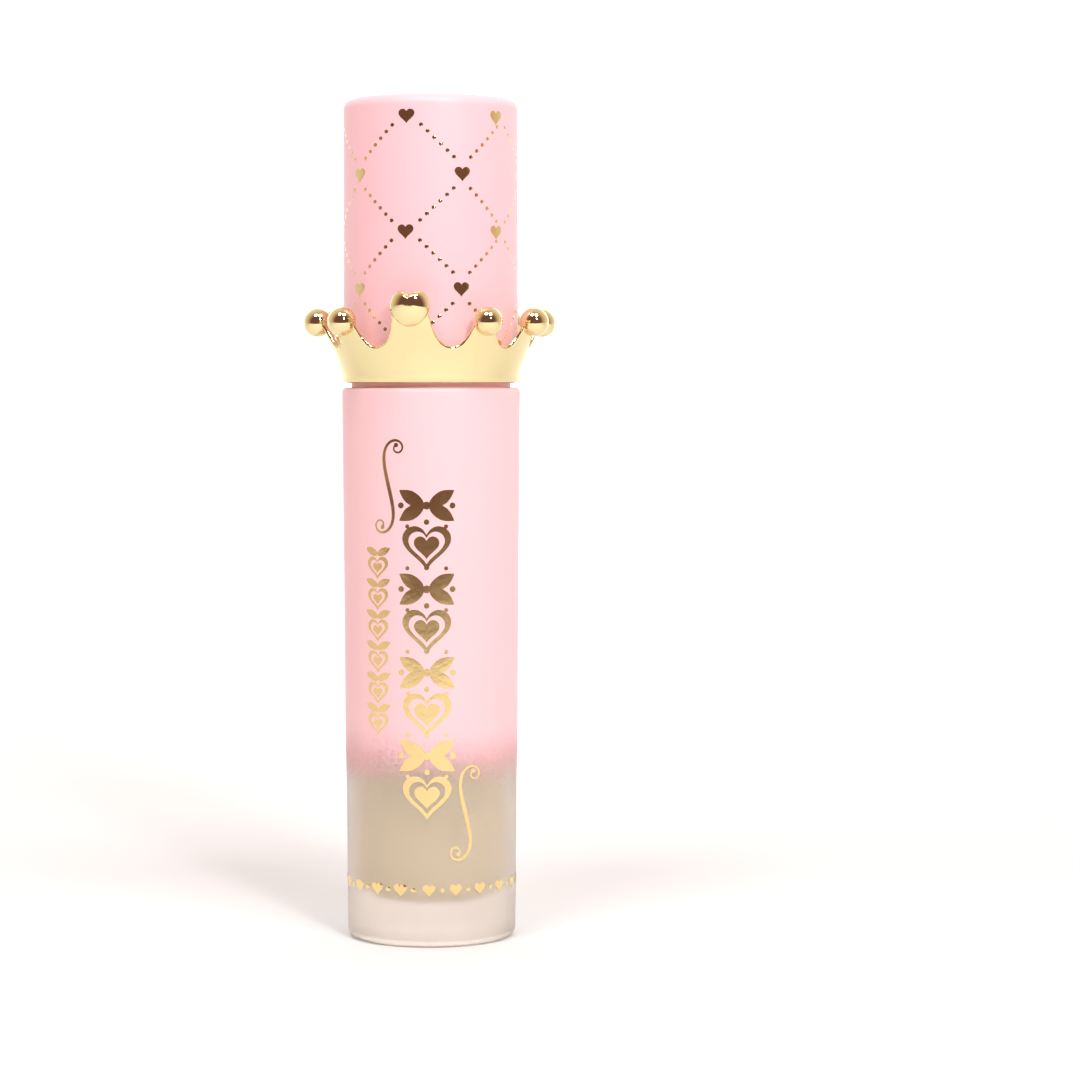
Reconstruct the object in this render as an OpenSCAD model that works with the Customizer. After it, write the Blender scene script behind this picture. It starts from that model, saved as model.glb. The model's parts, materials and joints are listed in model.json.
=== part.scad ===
// Lip gloss tube: a thick-walled vial with a screw cap that carries the applicator wand,
// and a crown-shaped collar round the foot of the cap.
// Frame: +Z up, origin at the middle of the vial's foot, front of the tube towards -Y.

/* [Vial] */
// Height of the vial body, from the foot to the shoulder
vial_h = 63.4; // [40:0.2:90]
// Outside diameter of the vial at the shoulder
vial_d = 20.4; // [19.4:0.1:25]
// How much narrower the vial is at the foot than at the shoulder
vial_draft = 1.0; // [0:0.1:2]
// How much wider the cavity is at the neck than at its floor
cavity_draft = 0.5; // [0:0.1:1]
// Thickness of the solid base under the cavity
base_t = 4.7; // [2:0.1:8]
// Radius of the corner between the cavity's floor and its wall
floor_corner_r = 3.2; // [1:0.1:5]
// Radius of the outer edge at the foot
foot_edge_r = 1.0; // [0.2:0.1:1.5]
// Radius of the outer edge at the shoulder
shoulder_edge_r = 0.45; // [0.1:0.05:0.6]
// Depth of the hollow under the foot
foot_hollow = 0.4; // [0.1:0.1:1]
// Width of the ring that the vial stands on
foot_ring_w = 1.3; // [0.8:0.1:2]
// Air left between the gloss and the level of the shoulder
headspace = 1.1; // [0.5:0.1:20]

/* [Neck and thread] */
// Height of the neck over the shoulder
neck_h = 12.6; // [11:0.1:15]
// Thickness of the neck's wall
neck_wall = 1.25; // [1:0.05:1.6]
// Height of the locating ring at the foot of the neck
ring_h = 1.6; // [1:0.1:2]
// Number of separate thread ridges
thread_starts = 2; // [1:1:3]
// Distance between neighbouring ridges along the axis
thread_pitch = 3.0; // [2.6:0.1:3.6]
// Height of a ridge over the wall that it stands on
thread_h = 0.75; // [0.6:0.05:0.9]
// Share of a turn that each ridge runs
thread_turns = 0.8; // [0.4:0.05:0.9]

/* [Cap] */
// Height of the cap, from the crown's lower edge to the flat top
cap_h = 32.4; // [26:0.2:45]
// How much narrower the cap is than the vial's shoulder
cap_step = 0.34; // [0:0.02:1]
// Thickness of the cap shell's wall
cap_wall = 0.88; // [0.7:0.02:1.2]
// Thickness of the cap shell's top
cap_top_t = 2.2; // [1.2:0.1:4]
// Radius of the cap's top edge
cap_edge_r = 1.2; // [0.4:0.1:2]
// Open gap between the vial's shoulder and the crown
shoulder_gap = 0.6; // [0.2:0.1:1.5]
// Thickness of the inner cap's threaded skirt
skirt_wall = 0.85; // [0.7:0.05:1.2]
// Thickness of the inner cap's ceiling
ceiling_t = 1.5; // [1:0.1:2.5]
// Thickness of the sealing washer
washer_t = 1.0; // [0.6:0.1:1.5]
// Number of ribs that centre the inner cap in the shell
rib_count = 6; // [3:1:12]

/* [Crown] */
// Number of points on the crown, the heart's among them
crown_points = 10; // [6:1:12]
// Angle taken up by the wide point under the heart
heart_arc = 45; // [36:1:60]
// Angle of the heart from the front, positive towards +X
heart_angle = -8.5; // [-180:0.5:180]
// Height of the crown's lower edge to the bottom of its valleys
valley_h = 4.1; // [2.5:0.1:5]
// Height of the bead centres over the crown's lower edge
bead_h = 6.9; // [5:0.1:9]
// Diameter of the beads
bead_d = 3.3; // [2.4:0.1:4]
// How far the bead centres stand out from the crown's foot
crown_reach = 2.75; // [2:0.05:4]
// Thickness of the crown's wall
crown_wall = 0.8; // [0.6:0.05:1.2]
// Width of the heart
heart_w = 4.3; // [3:0.1:6]

/* [Wand] */
// Diameter of the wand's stem
stem_d = 5.4; // [4:0.1:6.5]
// Gap between the applicator's tip and the cavity floor
tip_gap = 4.0; // [1:0.1:10]
// Length of the flocked applicator
flock_l = 17.5; // [12:0.1:22]
// Greatest width of the flocked applicator
flock_w = 7.1; // [6:0.1:8]
// Thickness of the applicator near its tip
flock_thin = 3.4; // [2.6:0.1:4.5]
// Depth of the flocking's fibres
flock_t = 0.35; // [0.2:0.05:0.5]

/* [Fits] */
// Gap between the locating ring and the cap's opening, on the radius
ring_fit = 0.075; // [0.03:0.005:0.2]
// Gap between each ridge and the wall that it faces, on the radius
thread_fit = 0.25; // [0.15:0.05:0.4]
// Gap between the two ridges, along the axis
thread_play = 0.2; // [0.15:0.05:0.4]
// Gap between the wiper's lip and the stem, on the radius
wiper_fit = 0.03; // [0.02:0.01:0.1]
// Gap round the washer, on the radius
washer_fit = 0.2; // [0.1:0.05:0.3]
// Gap between the crown and the cap shell, on the radius
crown_fit = 0.02; // [0.01:0.01:0.1]
// Gap between the gloss and the vial or the applicator
gloss_fit = 0.02; // [0.01:0.01:0.1]
// Gap between the gloss and the stem, on the radius
well_fit = 0.4; // [0.3:0.05:0.6]

/* [Hidden] */
$fn = 96;
arc_steps = 8;                    // straight pieces in a quarter round

vial_r = vial_d / 2;
foot_r = vial_r - vial_draft / 2;
stem_r = stem_d / 2;

// Radii from the cap's outside inwards, down to the cavity
cap_r = vial_r - cap_step / 2;
shell_bore_r = cap_r - cap_wall;
cap_bore_r = shell_bore_r - skirt_wall;
neck_crest_r = cap_bore_r - thread_fit;
neck_r = neck_crest_r - thread_h;
cap_crest_r = neck_r + thread_fit;
neck_bore_r = neck_r - neck_wall;
cavity_r = neck_bore_r - cavity_draft / 2;

// Heights along the axis
shoulder_z = vial_h;
crown_z = shoulder_z + shoulder_gap;
neck_top_z = shoulder_z + neck_h;
ring_top_z = shoulder_z + ring_h;
flange_t = 0.8;                   // the wiper's flange, on top of the neck
flange_top_z = neck_top_z + flange_t;
ceiling_z = flange_top_z + washer_t;
cap_top_z = crown_z + cap_h;
crown_seat_t = 1.2;               // the crown's foot ring, under the shell's edge
shell_z = crown_z + crown_seat_t;
socket_h = 8.7;                   // the part of the stem that is held in the inner cap
stem_top_z = ceiling_z + ceiling_t + socket_h;
tip_z = base_t + tip_gap;
flock_top_z = tip_z + flock_l;
spigot_l = 8;                     // the applicator's spigot inside the stem
spigot_r = stem_r - 1.2;

// Radius of the cavity's tapered wall at height z
cavity_slope = cavity_draft / 2 / (neck_top_z - base_t);
function cavity_r_at(z) = cavity_r + cavity_slope * (z - base_t);

// Thread ridges, the same on the neck and in the inner cap
ridge_root_w = 1.3;
ridge_crest_w = 0.6;
ridge_steps = 36;                 // straight pieces in a full turn of a ridge
ridge_runout = 5;                 // steps over which a ridge fades in or out
ridge_sink = 0.2;                 // how deep a ridge is rooted in its wall
thread_lead = thread_starts * thread_pitch;
thread_start_z = ring_top_z + 3.2;
ridge_w_sum = ridge_root_w + ridge_crest_w
              - (ridge_root_w - ridge_crest_w) * thread_fit / thread_h;
ridge_offset = ridge_w_sum / 2 + thread_play;

// The points of a quarter round about centre c, from angle a to angle b
function arc(c, r, a, b) =
    [for (i = [0 : arc_steps]) c + r * [cos(a + (b - a) * i / arc_steps), sin(a + (b - a) * i / arc_steps)]];

// One helical thread ridge, from r_root to r_crest, that starts at z = 0 on the -Y side
module ridge(r_root, r_crest) {
    out = r_crest > r_root;
    steps = ceil(thread_turns * ridge_steps);
    sunk = out ? r_root - ridge_sink : r_root + ridge_sink;
    start = (r_root + sunk) / 2;
    function crest(i) = start + (r_crest - start) * min(1, i / ridge_runout, (steps - i) / ridge_runout);
    function at(r, i, dz) =
        let (a = 360 * i / ridge_steps - 90)
        [r * cos(a), r * sin(a), thread_lead * i / ridge_steps + dz];
    points = [for (i = [0 : steps]) each [
        at(sunk, i, -ridge_root_w / 2), at(crest(i), i, -ridge_crest_w / 2),
        at(crest(i), i, ridge_crest_w / 2), at(sunk, i, ridge_root_w / 2)]];
    sides = [for (i = [0 : steps - 1], k = [0 : 3])
        let (p = 4 * i + k, q = 4 * i + (k + 1) % 4) each [[p, q, q + 4], [p, q + 4, p + 4]]];
    last = 4 * steps;
    ends = [[0, 2, 1], [0, 3, 2], [last, last + 1, last + 2], [last, last + 2, last + 3]];
    faces = [for (f = concat(sides, ends)) out ? f : [f[2], f[1], f[0]]];
    polyhedron(points, faces, convexity = 4);
}

// All the ridges of one thread, with the first one starting at height z
module thread(r_root, r_crest, z) {
    for (k = [0 : thread_starts - 1])
        rotate(360 * k / thread_starts) translate([0, 0, z]) ridge(r_root, r_crest);
}

// Outline of the cavity and the neck's bore, from the floor up to z
function cavity_outline(z, inset = 0) = concat(
    [[0, base_t + inset]],
    arc([cavity_r - floor_corner_r, base_t + floor_corner_r], floor_corner_r - inset, -90, 0),
    [[cavity_r_at(z) - inset, z], [0, z]]);

module vial() {
    color("#f6cfd3", 0.6) {
        difference() {
            rotate_extrude() polygon(concat(
                [[0, foot_hollow], [foot_r - foot_edge_r - foot_ring_w, foot_hollow],
                 [foot_r - foot_edge_r - foot_ring_w, 0]],
                arc([foot_r - foot_edge_r, foot_edge_r], foot_edge_r, -90, 0),
                arc([vial_r - shoulder_edge_r, shoulder_z - shoulder_edge_r], shoulder_edge_r, 0, 90),
                [[0, shoulder_z]]));
            rotate_extrude() polygon(cavity_outline(shoulder_z + 1));
        }
        difference() {
            union() {
                translate([0, 0, shoulder_z - 1]) cylinder(r = neck_r, h = neck_h + 1);
                translate([0, 0, shoulder_z - 1])
                    cylinder(r = shell_bore_r - ring_fit, h = ring_h + 1);
            }
            rotate_extrude() polygon(cavity_outline(neck_top_z + 1));
        }
        thread(neck_r, neck_crest_r, thread_start_z);
    }
}

// The wiper: a plug in the neck whose thin lip hugs the stem
module wiper() {
    wall = 0.6;
    lip_t = 0.45;
    lip_r = stem_r + wiper_fit;
    sleeve_z = neck_top_z - 6.5;
    lip_z = sleeve_z - 2.6;
    inner_r = cavity_r_at(sleeve_z) - wall;
    color("#f4efe9") rotate_extrude() polygon([
        [lip_r, lip_z], [lip_r + lip_t, lip_z], [cavity_r_at(sleeve_z), sleeve_z],
        [neck_bore_r, neck_top_z], [neck_r - 0.4, neck_top_z], [neck_r - 0.4, flange_top_z],
        [neck_bore_r - wall, flange_top_z], [inner_r, sleeve_z + 0.5], [lip_r, lip_z + lip_t]]);
}

// Cross-sections of the applicator, tip first: each is a share of the length, and then the
// half width, half thickness, side shift and front shift at that height
function foot_section(s) =
    let (
        round_tip = s < 0.16 ? sqrt(1 - pow(1 - s / 0.16, 2)) : 1,
        waist = pow(sin(90 * min(1, max(0, (s - 0.2) / 0.5))), 2),
        w = (flock_w / 2 + (stem_r + 0.1 - flock_w / 2) * waist) * max(0.12, round_tip),
        slope = pow(sin(90 * min(1, s / 0.9)), 2),
        t = (flock_thin / 2 + (stem_r + 0.1 - flock_thin / 2) * slope) * max(0.12, round_tip)
    )
    [w, t, -0.55 * (1 - waist), 0.75 * (1 - slope)];

// The applicator's body, with its surface moved in by inset and its top carried on by extra
module foot_body(inset = 0, extra = 0) {
    rings = 16;
    sides = 28;
    low = tip_z + inset;
    high = flock_top_z;
    points = [for (i = [0 : rings], k = [0 : sides - 1])
        let (s = (1 - cos(90 * i / rings)), f = foot_section(s), a = 360 * k / sides)
        [f[2] + max(0.1, f[0] - inset) * cos(a), -f[3] + max(0.1, f[1] - inset) * sin(a),
         low + (high - low) * s + (i == rings ? extra : 0)]];
    wall = [for (i = [0 : rings - 1], k = [0 : sides - 1])
        let (p = i * sides + k, q = i * sides + (k + 1) % sides)
        each [[p, p + sides, q + sides], [p, q + sides, q]]];
    caps = [[for (k = [0 : sides - 1]) k], [for (k = [sides - 1 : -1 : 0]) rings * sides + k]];
    polyhedron(points, concat(wall, caps), convexity = 4);
}

// The gloss, with a well the shape of the wand in it
module gloss() {
    fill_z = shoulder_z - headspace;
    color("#dec8aa") difference() {
        rotate_extrude() polygon(cavity_outline(fill_z, gloss_fit));
        foot_body(-gloss_fit);
        translate([0, 0, flock_top_z - 0.6]) cylinder(r = stem_r + well_fit, h = fill_z);
    }
}

// The loose washer, held in the inner cap by the thread under it
module seal_washer() {
    color("#ffffff") translate([0, 0, flange_top_z]) difference() {
        cylinder(r = cap_bore_r - washer_fit, h = washer_t);
        translate([0, 0, -1]) cylinder(r = stem_r + washer_fit, h = washer_t + 2);
    }
}

module cap_shell() {
    draft = 0.06;
    color("#fdd3d5") rotate_extrude() polygon(concat(
        [[shell_bore_r, shell_z], [cap_r, shell_z]],
        arc([cap_r - draft - cap_edge_r, cap_top_z - cap_edge_r], cap_edge_r, 0, 90),
        [[0, cap_top_z], [0, cap_top_z - cap_top_t], [shell_bore_r, cap_top_z - cap_top_t]]));
}

// The inner cap: threaded skirt, ceiling, and the ribbed socket that grips the stem
module inner_cap() {
    skirt_z = ring_top_z + 0.6;
    socket_r = stem_r + 1.3;
    rib_t = 0.9;
    rib_top_z = cap_top_z - cap_top_t - 0.2;
    roof_z = ceiling_z + ceiling_t;
    color("#f3e4e4") difference() {
        union() {
            difference() {
                translate([0, 0, skirt_z]) cylinder(r = shell_bore_r, h = roof_z - skirt_z);
                translate([0, 0, skirt_z - 1]) cylinder(r = cap_bore_r, h = ceiling_z - skirt_z + 1);
            }
            thread(cap_bore_r, cap_crest_r, thread_start_z - ridge_offset);
            translate([0, 0, roof_z - 0.5]) cylinder(r = socket_r, h = socket_h + 0.5);
            for (k = [0 : rib_count - 1])
                rotate(360 * k / rib_count) translate([socket_r - 0.5, -rib_t / 2, roof_z - 0.5])
                    cube([shell_bore_r - 0.1 - socket_r + 0.5, rib_t, rib_top_z - roof_z + 0.5]);
        }
        translate([0, 0, ceiling_z - 1]) cylinder(r = stem_r, h = socket_h + ceiling_t + 2);
    }
}

// Crown: outer radius at height h over its lower edge, a curve that leans out to the beads
crown_foot_r = cap_r + 0.22;
crown_lean = 0.15;
crown_curl = (crown_reach - crown_lean * bead_h) / pow(bead_h, 2);
function crown_r(h) = crown_foot_r + crown_lean * h + crown_curl * h * h;
bead_ring_r = crown_foot_r + crown_reach;
bead_arc = (360 - heart_arc) / (crown_points - 1);
heart_rise = 1.5;                 // the heart's centre over the beads' centres
valley_w = 2.6;                   // half width of a valley
valley_d = 3.6;                   // height over which a valley's sides turn upright

// Radial cutter for the valley at angle a; left and right are how far it clears each tip
module valley(a, left, right) {
    rim = bead_h - valley_h + 0.1;
    top = bead_h + heart_rise + 3;
    function side(x) = valley_d * (1 - sqrt(1 - pow(x / valley_w, 2)));
    u = [for (i = [-8 : 8]) let (x = valley_w * sin(90 * i / 8)) [x, min(side(x), rim)]];
    rotate([0, 0, a]) translate([0, 0, crown_z + valley_h]) rotate([90, 0, 0])
        linear_extrude(height = bead_ring_r + 4)
            polygon(concat([[-left, top], [-left, rim]], u, [[right, rim], [right, top]]));
}

module bead() {
    sphere(d = bead_d, $fn = 48);
}

// A puffy heart, point down, facing -Y
module heart() {
    lobe_r = heart_w * 0.285;
    lobe_x = heart_w / 2 - lobe_r;
    lobe_z = heart_w * 0.16;
    point_r = heart_w * 0.1;
    point_z = -heart_w * 0.36;
    run = sqrt(pow(lobe_x, 2) + pow(lobe_z - point_z, 2));
    for (side = [-1, 1]) translate([0, 0, point_z]) rotate([0, side * atan2(lobe_x, lobe_z - point_z), 0]) {
        cylinder(r1 = point_r, r2 = lobe_r, h = run, $fn = 48);
        translate([0, 0, run]) sphere(lobe_r, $fn = 48);
    }
    translate([0, 0, point_z]) sphere(point_r, $fn = 48);
}

module crown() {
    rise = bead_h + 0.5;
    steps = 10;
    outer = [for (i = [0 : steps]) let (h = rise * i / steps) [crown_r(h), crown_z + h]];
    inner = [for (i = [steps : -1 : 2]) let (h = rise * i / steps)
        [max(cap_r + crown_fit, crown_r(h) - crown_wall), crown_z + h]];
    half_pitch = bead_ring_r * PI * bead_arc / 360 + 0.4;
    color("#e8cf86") {
        difference() {
            rotate_extrude() polygon(concat(
                [[shell_bore_r, crown_z]], outer, inner,
                [[cap_r + crown_fit, shell_z], [shell_bore_r, shell_z]]));
            for (k = [0 : crown_points - 1]) {
                a = heart_angle + heart_arc / 2 + bead_arc * k;
                first = k == 0;
                final = k == crown_points - 1;
                valley(a, first ? valley_w + 0.25 : half_pitch, final ? valley_w + 0.25 : half_pitch);
            }
        }
        for (k = [0 : crown_points - 2])
            rotate(heart_angle + heart_arc / 2 + bead_arc * (k + 0.5))
                translate([0, -bead_ring_r, crown_z + bead_h]) bead();
        rotate(heart_angle) translate([0, -bead_ring_r, crown_z + bead_h + heart_rise]) heart();
    }
}

module wand_stem() {
    color("#f4f2f4") difference() {
        translate([0, 0, flock_top_z]) cylinder(r = stem_r, h = stem_top_z - flock_top_z);
        translate([0, 0, flock_top_z - 1]) cylinder(r = spigot_r, h = spigot_l + 1);
    }
}

module applicator_core() {
    color("#efe3cf") {
        foot_body(flock_t);
        translate([0, 0, flock_top_z - 0.5]) cylinder(r = spigot_r, h = spigot_l + 0.5);
    }
}

module applicator_flock() {
    color("#ecdcbe") difference() {
        foot_body();
        foot_body(flock_t, 1);
    }
}

vial();
wiper();
gloss();
seal_washer();
cap_shell();
inner_cap();
crown();
wand_stem();
applicator_core();
applicator_flock();
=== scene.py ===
"""Lip gloss tube with a crown-shaped collar: the looks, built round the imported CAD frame.

Sizes in the panel are in metres. The builders work in millimetres, and new_piece() scales
them. Angles round the tube are measured from the front (-Y) towards the right (+X).
"""

import json
import math

import bmesh
import bpy
import numpy as np
from bpy.props import FloatProperty, FloatVectorProperty, IntProperty, PointerProperty
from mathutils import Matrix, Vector


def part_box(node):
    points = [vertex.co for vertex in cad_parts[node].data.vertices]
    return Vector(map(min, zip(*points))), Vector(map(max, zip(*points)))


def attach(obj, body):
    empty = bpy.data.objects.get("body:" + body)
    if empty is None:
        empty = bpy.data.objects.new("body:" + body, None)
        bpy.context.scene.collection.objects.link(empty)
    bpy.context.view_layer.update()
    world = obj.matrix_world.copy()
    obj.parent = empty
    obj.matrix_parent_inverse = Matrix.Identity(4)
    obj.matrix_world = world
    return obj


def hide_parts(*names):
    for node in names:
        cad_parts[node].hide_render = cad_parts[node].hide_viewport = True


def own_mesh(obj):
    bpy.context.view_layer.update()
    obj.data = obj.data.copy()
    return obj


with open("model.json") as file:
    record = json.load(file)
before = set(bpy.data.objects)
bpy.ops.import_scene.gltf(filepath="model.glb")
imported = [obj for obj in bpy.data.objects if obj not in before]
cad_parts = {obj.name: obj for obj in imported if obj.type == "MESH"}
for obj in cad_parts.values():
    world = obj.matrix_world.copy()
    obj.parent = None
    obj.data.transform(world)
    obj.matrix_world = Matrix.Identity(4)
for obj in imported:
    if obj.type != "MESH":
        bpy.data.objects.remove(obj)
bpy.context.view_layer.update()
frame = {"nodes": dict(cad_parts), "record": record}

bl_info = {
    "name": "Lip Gloss Tube",
    "version": (1, 0, 0),
    "blender": (4, 5, 0),
    "location": "3D View > Sidebar > Lip Gloss",
    "description": "Builds the vial, cap, crown and wand of a lip gloss tube round its CAD frame",
    "category": "Object",
}

MM = 0.001
COAT_GAP = 0.02                     # mm of air under the coat, so that rays meet each skin in turn
FOIL_SINK = 0.02                    # mm that the back of the foil is sunk in its wall
CAP_DRAFT = 0.06                    # mm that the cap's radius loses towards its top


# ---------- sizes that the frame gives, in mm

def node_box(node):
    """Lowest and highest corner of a CAD node."""
    low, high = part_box(node)
    return np.array(low) / MM, np.array(high) / MM


def node_rings(node):
    """Every vertex of a CAD node as its radius from the axis and its height."""
    points = np.array([v.co for v in frame["nodes"][node].data.vertices]) / MM
    return np.hypot(points[:, 0], points[:, 1]), points[:, 2]


def joint_lead():
    """Rise of the cap in one turn, from the coupling between its two joints."""
    coupling = frame["record"]["behaviour"]["couplings"][0]
    return coupling["ratio"] * math.tau / MM


class TubeSizes:
    """Radii and heights of the tube, all read from the CAD frame."""

    def __init__(self):
        r, z = node_rings("vial")
        self.neck_top = z.max()
        self.vial_r = r.max()
        self.wall_top = z[r.argmax()]
        low = z < 0.02 * self.wall_top
        self.foot_r = r[low].max()
        self.wall_low = z[low][r[low].argmax()]
        self.hollow_r = r[z < 0.001].min()
        self.hollow_z = z[(z > 0.1) & (np.abs(r - self.hollow_r) < 0.01) & (z < 1)].max()
        self.bore_r, self.neck_r = r[z > self.neck_top - 0.01].min(), r[z > self.neck_top - 0.01].max()
        self.cap_r = node_box("cap_shell")[1][0]
        self.shell_bore_r = node_box("inner_cap")[1][0]
        self.shoulder_z = z[r > self.shell_bore_r].max()
        self.ring_r = r[(z > self.shoulder_z + 0.3) & (z < self.neck_top)].max()
        self.ring_top = z[np.abs(r - self.ring_r) < 0.01].max()
        self.cap_top = node_box("cap_shell")[1][2]
        self.shell_z = node_box("cap_shell")[0][2]
        sr, sz = node_rings("cap_shell")
        self.shell_roof = sz[np.abs(sr - self.shell_bore_r) < 0.01].max()
        self.crown_z = node_box("crown")[0][2]
        self.floor_z, self.fill_z = node_box("gloss")[0][2], node_box("gloss")[1][2]
        gr, gz = node_rings("gloss")
        self.cavity_r = gr[gz < self.floor_z + 5].max()
        self.cavity_floor_r = gr[gz < self.floor_z + 0.01].max()
        self.fill_r = gr.max()
        self.tip_z, self.flock_top = (node_box("applicator_flock")[k][2] for k in (0, 1))
        self.stem_r, _, self.stem_top = node_box("wand_stem")[1]
        wr, wz = node_rings("wand_stem")
        self.socket_r = wr.min()
        self.socket_top = wz[wr < self.socket_r + 0.01].max()

    def wall(self, z):
        """Outer radius of the vial's tapered wall, carried on past its ends, at height z."""
        share = (z - self.wall_low) / (self.wall_top - self.wall_low)
        return self.foot_r + (self.vial_r - self.foot_r) * share

    def coated(self, z):
        """Outer radius of the coat that lies on that wall."""
        return self.wall(z) + COAT_GAP + sizes().coat / MM


T = TubeSizes()


# ---------- colours and mesh helpers

def srgb(r, g, b):
    """A display colour from 0 to 255 as the linear colour that Blender uses."""
    return tuple((c / 255 / 12.92) if c <= 10 else ((c / 255 + 0.055) / 1.055) ** 2.4 for c in (r, g, b))


def smooth(x):
    """Smooth step of x from 0 to 1."""
    x = np.clip(x, 0, 1)
    return x * x * (3 - 2 * x)


def on_wall(u, z, radius, angle=0.0):
    """The point at arc length u from an angle, on a wall of that radius."""
    a = math.radians(angle) + u / radius
    return radius * math.sin(a), -radius * math.cos(a), z


def filleted(outline, steps=6):
    """An outline of (radius, height, fillet) corners with each fillet turned into an arc."""
    out = []
    for i, (x, y, fillet) in enumerate(outline):
        here = np.array([x, y], float)
        if not fillet or i in (0, len(outline) - 1):
            out.append((x, y))
            continue
        before = np.array(outline[i - 1][:2], float) - here
        after = np.array(outline[i + 1][:2], float) - here
        before, after = before / np.linalg.norm(before), after / np.linalg.norm(after)
        half = math.acos(np.clip(before @ after, -1, 1)) / 2
        centre = here + (before + after) / np.linalg.norm(before + after) * fillet / math.sin(half)
        first, last = here + before * fillet / math.tan(half), here + after * fillet / math.tan(half)
        a, b = (math.atan2(*(p - centre)[::-1]) for p in (first, last))
        turn = (b - a + math.pi) % math.tau - math.pi
        out += [tuple(centre + fillet * np.array([math.cos(t), math.sin(t)]))
                for t in np.linspace(a, a + turn, steps + 1)]
    return out


def revolve(profile, segments, ring=False):
    """Turns a profile of (radius, height) about Z. A ring's profile is closed and off the axis."""
    points, rows, faces = [], [], []
    for r, z in profile:
        count = 1 if r < 1e-6 else segments
        rows.append([len(points) + k for k in range(count)])
        for k in range(count):
            a = math.tau * k / segments
            points.append((r * math.sin(a), -r * math.cos(a), z))
    for low, high in zip(rows, rows[1:] + (rows[:1] if ring else [])):
        for k in range(segments):
            j = (k + 1) % segments
            quad = [low[k % len(low)], low[j % len(low)], high[j % len(high)], high[k % len(high)]]
            face = [p for n, p in enumerate(quad) if p not in quad[:n]]
            if len(face) > 2:
                faces.append(face)
    return points, faces


class Parts:
    """Several closed shells gathered into one mesh."""

    def __init__(self):
        self.points, self.faces = [], []

    def add(self, points, faces):
        base = len(self.points)
        self.points += [tuple(p) for p in points]
        self.faces += [[base + i for i in f] for f in faces]


def grid_faces(rows, columns, wrap=False):
    """Quads between the rows of a grid of points."""
    last = columns if wrap else columns - 1
    return [[i * columns + k, i * columns + (k + 1) % columns,
             (i + 1) * columns + (k + 1) % columns, (i + 1) * columns + k]
            for i in range(rows - 1) for k in range(last)]


def grid_between(first, second, columns):
    """Quads between two closed rows of points that start at those numbers."""
    return [[first + k, first + (k + 1) % columns, second + (k + 1) % columns, second + k]
            for k in range(columns)]


def linked(name, data):
    """A new object in the scene with that data."""
    obj = bpy.data.objects.new(name, data)
    bpy.context.scene.collection.objects.link(obj)
    return obj


def linked_mesh(name, points, faces):
    """A new object from points in millimetres."""
    mesh = bpy.data.meshes.new(name)
    mesh.from_pydata([Vector(p) * MM for p in points], [], faces)
    return linked(name, mesh)


def new_piece(name, points, faces, body, material, slot=None, replaces=(), sharp=35.0):
    """Makes a piece from points in millimetres, shades it smooth and lets it ride on its body."""
    obj = linked_mesh(name, points, faces)
    dress(obj, body, material, replaces, sharp)
    return obj


def shade(obj, material):
    """Shades an object smooth, in one material."""
    obj.data.polygons.foreach_set("use_smooth", [True] * len(obj.data.polygons))
    obj.data.materials.clear()
    obj.data.materials.append(material)


def dress(obj, body, material, replaces=(), sharp=35.0):
    """Turns the faces outwards, shades them, and gives the piece its material and body."""
    made = bmesh.new()
    made.from_mesh(obj.data)
    bmesh.ops.recalc_face_normals(made, faces=made.faces)
    made.to_mesh(obj.data)
    made.free()
    shade(obj, material)
    obj.data.set_sharp_from_angle(angle=math.radians(sharp))
    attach(obj, body)
    if replaces:
        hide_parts(*replaces)


# ---------- shader groups and materials

def node_group(name, inputs, outputs):
    """An empty shader group with named sockets, and its input and output nodes."""
    group = bpy.data.node_groups.new(name, "ShaderNodeTree")
    for label, kind, default in inputs:
        socket = group.interface.new_socket(name=label, in_out="INPUT", socket_type=kind)
        socket.default_value = default
    for label, kind in outputs:
        group.interface.new_socket(name=label, in_out="OUTPUT", socket_type=kind)
    return group, group.nodes.new("NodeGroupInput"), group.nodes.new("NodeGroupOutput")


def add_node(tree, kind, links=(), **values):
    """Adds a node, sets its attributes, and links or sets its inputs."""
    made = tree.nodes.new(kind)
    for key, value in values.items():
        setattr(made, key, value)
    for socket, source in links:
        if isinstance(source, (int, float, tuple)):
            made.inputs[socket].default_value = source
        else:
            tree.links.new(source, made.inputs[socket])
    return made


def calculated(tree, operation, *inputs, kind="ShaderNodeMath"):
    """The result of a math node with those inputs."""
    return add_node(tree, kind, list(enumerate(inputs)), operation=operation).outputs[0]


def grain_group():
    """Fine moulded or sprayed grain, as a height, and a slow drift, as a value round zero."""
    if "Fine Grain" in bpy.data.node_groups:
        return bpy.data.node_groups["Fine Grain"]
    group, source, sink = node_group(
        "Fine Grain",
        [("Grain Size", "NodeSocketFloat", 0.0002), ("Drift Size", "NodeSocketFloat", 0.01)],
        [("Height", "NodeSocketFloat"), ("Drift", "NodeSocketFloat")])
    place = add_node(group, "ShaderNodeTexCoord").outputs["Object"]
    for size, label, detail in (("Grain Size", "Height", 3.0), ("Drift Size", "Drift", 2.0)):
        scale = calculated(group, "DIVIDE", 1.0, source.outputs[size])
        noise = add_node(group, "ShaderNodeTexNoise",
                         [("Vector", place), ("Scale", scale), ("Detail", detail)])
        group.links.new(calculated(group, "SUBTRACT", noise.outputs[0], 0.5), sink.inputs[label])
    return group


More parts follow.
